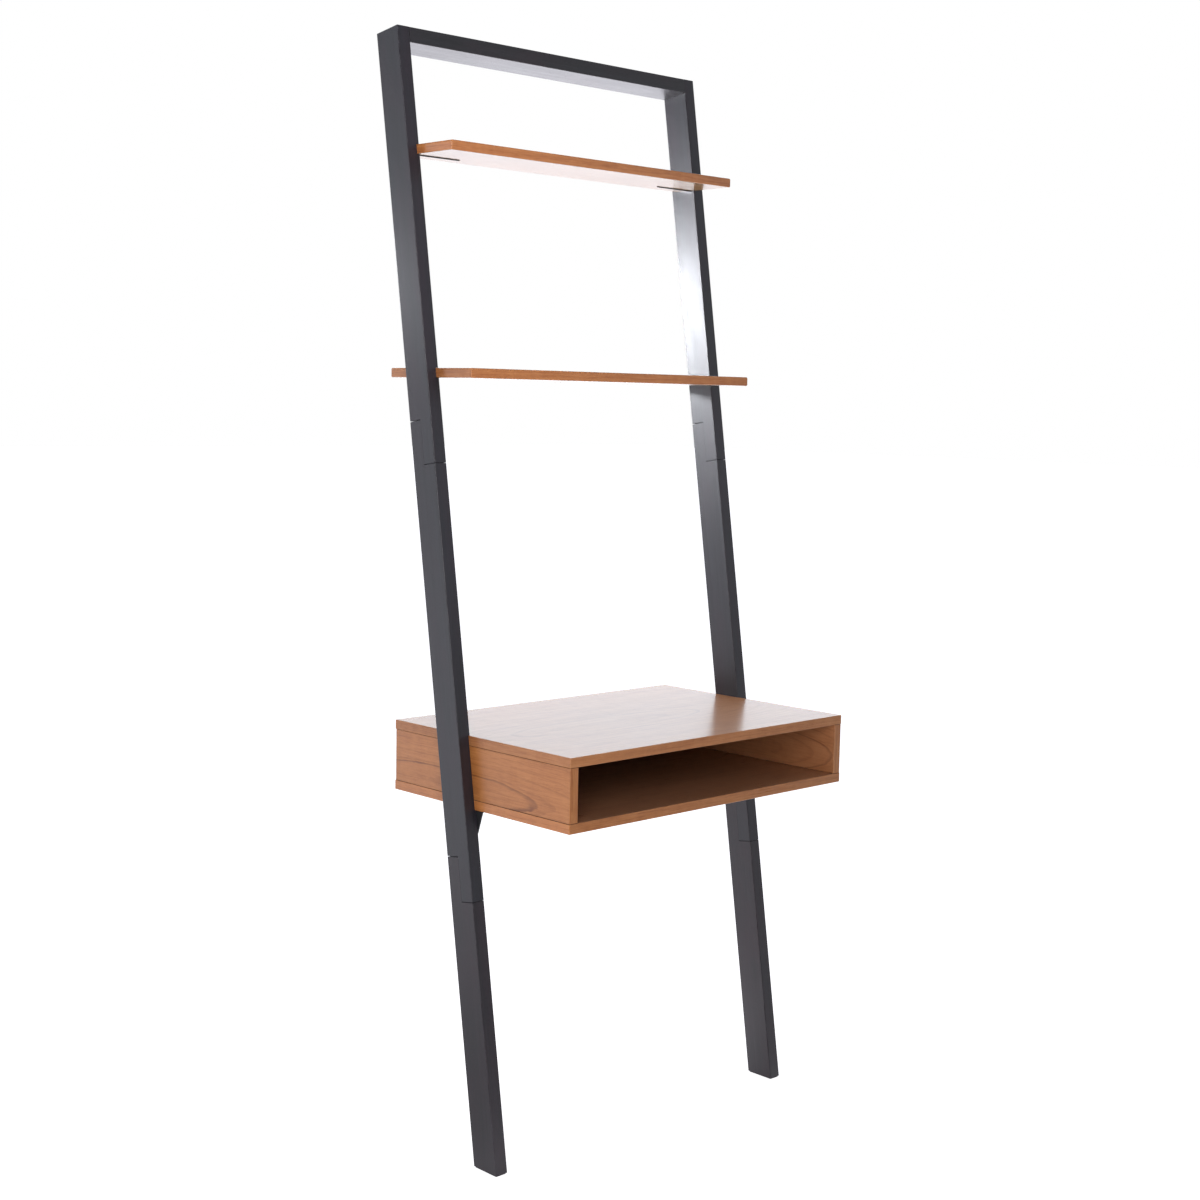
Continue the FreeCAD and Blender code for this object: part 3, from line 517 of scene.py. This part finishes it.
def finishes():
    # the under, over, left and front tints below are painted light and shade on faces by which way they look, partly
    # the veneer's own tone
    dress("desk_left_side", wood("veneer_left_side", "desk_left_side", "Y", "X", 3.0,
          (75.0, -30.0, 53.0, 1.29e-4, 60.0, 1.0, 9.0), TONES, rough=0.33, edge_tone=BOX_EDGE, seams=(670.0, 767.5),
          left=(1.0, 0.93, 0.80)))
    dress("desk_right_side", wood("veneer_right_side", "desk_right_side", "Y", "X", 8.0,
          (121.0, -16.0, 33.9, 2.017e-4, 60.0, 0.8, 9.0), TONES, rough=0.33, contrast=0.8, edge_tone=BOX_EDGE, seams=(670.0, 767.5),
          left=(1.0, 1.06, 1.50)))
    dress("desk_top_panel", wood("veneer_desk_top", "desk_top_panel", "X", "Z", 12.0,
          (-60.0, -25.0, 70.0, 3.0e-4, 96.0, 0.0, 11.0), TONES, rough=0.74, contrast=0.8, edge_tone=BOX_EDGE, seams=(767.5,), gate=344.0,
          under=(0.55, 0.60, 0.70), over=(1.03, 1.10, 1.25), coat=(0.62, 0.23, 1.42)))
    dress("desk_bottom_panel", wood("veneer_desk_bottom", "desk_bottom_panel", "X", "Z", 19.0,
          (90.0, 40.0, 60.0, 2.6e-4, 92.0, 0.45, 11.0), TONES, rough=0.30, contrast=0.85, edge_tone=BOX_EDGE, seams=(670.0,), gate=344.0, under=UNDER,
          over=(0.80, 0.99, 1.75), left=(1.20, 1.12, 1.0)))
    dress("middle_shelf", wood("veneer_middle_shelf", "middle_shelf", "X", "Z", 27.0,
          (120.0, 10.0, 64.0, 2.0e-4, 84.0, 0.4, 10.0), TONES, rough=0.22, contrast=0.85, edge_tone=SHELF_EDGE, under=UNDER,
          left=(0.85, 0.90, 0.95)))
    dress("upper_shelf", wood("veneer_upper_shelf", "upper_shelf", "X", "Z", 36.0,
          (-40.0, 20.0, 58.0, 2.4e-4, 80.0, 0.35, 10.0), TONES, rough=0.22, contrast=0.8, edge_tone=SHELF_EDGE, under=UNDER))
    # the back board's darker tones and the tint on its front face: painted shade at the back of the box
    back = tuple(tuple(x * k for x, k in zip(c, (0.78, 0.74, 0.74))) for c in TONES)
    dress("desk_back_panel", wood("veneer_back", "desk_back_panel", "X", "Y", 44.0,
          (-80.0, 5.0, 50.0, 1.8e-4, 72.0, 0.4, 10.0), back, rough=0.42, front=(0.40, 0.68, 1.50)))

    low = (0.0205, 0.0155, 0.0208)
    dress("left_stile_bottom", black_wood("black_left_bottom", 1.0, tone=low))
    dress("left_stile_middle", black_wood("black_left_middle", 21.0))
    dress("left_stile_top", black_wood("black_left_top", 41.0))
    dress("right_stile_bottom", black_wood("black_right_bottom", 61.0, tone=low))
    dress("right_stile_middle", black_wood("black_right_middle", 81.0))
    dress("right_stile_top", black_wood("black_right_top", 101.0))
    dress("top_rail", black_wood("black_rail", 121.0, tone=(0.0195, 0.0186, 0.0222), rail=True))

    for s in ("left", "right"):
        dress("desk_bracket_" + s, powder_coat("powder_bracket_" + s))
        dress("upper_shelf_support_" + s, powder_coat("powder_upper_blade_" + s))
        dress("middle_shelf_support_" + s, powder_coat("powder_middle_blade_" + s))
        dress("wall_hanger_plate_" + s, zinc("zinc_hanger_" + s, "X"))
        dress(s + "_foot_pad", rubber("rubber_pad_" + s))
    dress("desk_bracket_screws", zinc("black_zinc_screws", "X", dark=True, spin=True))
    dress("lap_bolts", zinc("black_oxide_bolts", "Y", dark=True, spin=True))
    dress("shelf_support_screws", zinc("zinc_blade_screws", "X", spin=True))
    dress("wall_hanger_screws", zinc("zinc_hanger_screws", "Y", spin=True))
    dress("lap_inserts", brass("brass_inserts"))
    dress("rail_dowels", dowel_wood("beech_rail_dowels", "X"))
    dress("desk_dowels", dowel_wood("beech_desk_dowels", "Z"))


# ---------------------------------------------------------------------------
# studio: white surround, pale floor and soft lights
# ---------------------------------------------------------------------------

def studio():
    sc = bpy.context.scene
    world = bpy.data.worlds.new("studio")
    world.use_nodes = True
    sc.world = world

    def toward(t, flat, azimuth, sharp):
        """1 towards an azimuth (degrees from +X, turning to +Y), falling off round it"""
        a = math.radians(azimuth)
        return t.m("EXPONENT", t.m("MULTIPLY_ADD", t.v("DOT_PRODUCT", flat, (math.cos(a), math.sin(a), 0.0)), sharp, -sharp))

    def band(t, x, middle, width):
        """1 in the middle of a band, falling off on both sides of it"""
        q = t.m("DIVIDE", t.m("SUBTRACT", x, middle), width)
        return t.m("EXPONENT", t.m("MULTIPLY", t.m("MULTIPLY", q, q), -1.0))

    # the surround is white to the eye; what it gives as light is a soft backdrop,
    # bright behind the object to the right and weaker elsewhere round the horizon
    t = Tree(world.node_tree)
    out = t.node("ShaderNodeOutputWorld")
    bg = t.node("ShaderNodeBackground")
    seen = t.node("ShaderNodeLightPath").outputs["Is Camera Ray"]
    d = t.v("NORMALIZE", t.node("ShaderNodeTexCoord").outputs["Generated"])
    x, y, z = t.sep(d)
    flat = t.v("NORMALIZE", t.xyz(x, y, 0.0))
    low, mid = band(t, z, 0.08, 0.14), band(t, z, 0.36, 0.17)
    sky = t.m("MULTIPLY", band(t, z, 1.0, 0.12), ZENITH)
    for azimuth, at_low, at_mid in BACKDROP:
        lit = t.m("MULTIPLY", low, at_low)
        if at_mid:
            lit = t.m("MULTIPLY_ADD", mid, at_mid, lit)
        sky = t.m("MULTIPLY_ADD", toward(t, flat, azimuth, 5.0), lit, sky)
    cool = t.m("MULTIPLY", toward(t, flat, 45.0, 1.5), t.m("SUBTRACT", 1.0, seen))
    t.put(bg.inputs["Color"], t.mixc(cool, t.mixc(seen, (0.995, 0.985, 1.03), (1.0, 1.0, 1.0)), (0.875, 1.00, 1.105)))
    t.put(bg.inputs["Strength"], t.mix(seen, sky, 1.0))
    t.t.links.new(bg.outputs[0], out.inputs[0])

    floor_mesh = bpy.data.meshes.new("floor")
    s = 40.0
    floor_mesh.from_pydata([(-s, -s, 0), (s, -s, 0), (s, s, 0), (-s, s, 0)], [], [(0, 1, 2, 3)])
    floor = bpy.data.objects.new("floor", floor_mesh)
    floor.location.z = -0.0002
    sc.collection.objects.link(floor)
    mat, f = material("pale_floor")
    fo = f.node("ShaderNodeOutputMaterial")
    dif = f.node("ShaderNodeBsdfDiffuse")
    f.put(dif.inputs["Color"], (0.80, 0.80, 0.80))
    em = f.node("ShaderNodeEmission")
    f.put(em.inputs["Color"], f.mixc(f.node("ShaderNodeLightPath").outputs["Is Camera Ray"], (0.99, 0.985, 1.06), (1.0, 0.99, 1.01)))
    # the pale floor is lit white, in pools by direction and by distance (in doublings of a metre)
    where = f.node("ShaderNodeTexCoord").outputs["Object"]
    fx, fy, fz = f.sep(where)
    flat = f.v("NORMALIZE", f.xyz(fx, fy, 0.0))
    far = f.m("LOGARITHM", f.m("MAXIMUM", f.v("LENGTH", where), 0.05), 2.0)
    near = {"a": band(f, far, -1.0, 1.3), "b": band(f, far, 1.2, 1.1), "c": band(f, far, 2.8, 0.9)}
    glow = 0.0
    for azimuth, pools in POOLS:
        lit = 0.0
        for k, strength in pools:
            lit = f.m("MULTIPLY_ADD", near[k], strength, lit)
        glow = f.m("MULTIPLY_ADD", toward(f, flat, azimuth, 3.0), lit, glow)
    seen = f.node("ShaderNodeLightPath").outputs["Is Camera Ray"]
    f.put(em.inputs["Strength"], f.mix(seen, glow, 0.92))
    add = f.node("ShaderNodeAddShader")
    f.t.links.new(dif.outputs[0], add.inputs[0])
    f.t.links.new(em.outputs[0], add.inputs[1])
    f.t.links.new(add.outputs[0], fo.inputs[0])
    floor_mesh.materials.append(mat)

    for name, at, aim, size, radiance, half_spread, colour in SOFTBOXES:
        # a gridded softbox: radiance on its axis, fading out at half_spread degrees from it
        h = math.radians(half_spread)
        li = bpy.data.lights.new(name, "AREA")
        li.shape = "RECTANGLE"
        li.color = colour
        li.size, li.size_y = size
        li.spread = 2.0 * h
        li.energy = radiance * math.pi * size[0] * size[1] * (math.tan(h) - h) / math.tan(h)
        ob = bpy.data.objects.new(name, li)
        ob.location = at
        ob.rotation_euler = (Vector(aim) - Vector(at)).to_track_quat("-Z", "Y").to_euler()
        ob.visible_camera = False
        sc.collection.objects.link(ob)

    sc.view_settings.view_transform = "Standard"
    sc.view_settings.look = "None"
    sc.view_settings.exposure = 0.0
    sc.view_settings.gamma = 1.0


ZENITH = 0.75
# azimuth, strength near the horizon, strength at about 20 degrees up
BACKDROP = (
    (0.0, 0.80, 0.0),
    (45.0, 1.86, 3.72),
    (128.0, 2.10, 0.0),
    (315.0, 0.65, 0.68),
)
# azimuth, and the strength of the pool about 0.5, 2.3 and 7 m out
POOLS = (
    (45.0, (("a", 3.40), ("b", 3.30), ("c", 3.10))),
    (128.0, (("b", 0.78), ("c", 1.27))),
    (225.0, (("a", 1.02),)),
)
# name, place, aim, size, radiance, half spread, colour
SOFTBOXES = (
    # behind and to the left, for the long sheen down the inner face of the right stile
    ("softbox_back", (-0.54, 1.15, 1.640), (0.36, 0.16, 1.640), (0.28, 0.12), 306.0, 36.0, (0.96, 0.985, 1.04)),
    ("softbox_back_low", (-0.54, 1.15, 1.300), (0.36, 0.16, 1.250), (0.28, 0.12), 20.0, 36.0, (0.97, 0.985, 1.04)),
    # high over the rear, for the desk top and the tops of the shelves
    ("softbox_top", (-0.10, 0.70, 3.00), (0.0, 0.1, 0.80), (1.2, 1.2), 4.0, 60.0, (1.0, 1.0, 1.0)),
    # in front and to the left at four heights, for the fall of light across the front edges and into the box
    ("softbox_front", (-1.45, -1.35, 1.55), (0.0, 0.1, 1.60), (0.8, 1.0), 9.7, 50.0, (1.0, 1.0, 1.0)),
    ("softbox_front_near", (-1.10, -0.80, 2.00), (-0.2, 0.1, 1.90), (0.35, 0.35), 20.0, 50.0, (1.0, 1.0, 1.0)),
    ("softbox_front_low", (-1.6, -1.25, 0.75), (0.0, 0.0, 1.10), (0.8, 0.8), 3.7, 60.0, (1.0, 1.0, 1.0)),
)


make_camera()
studio()
finishes()
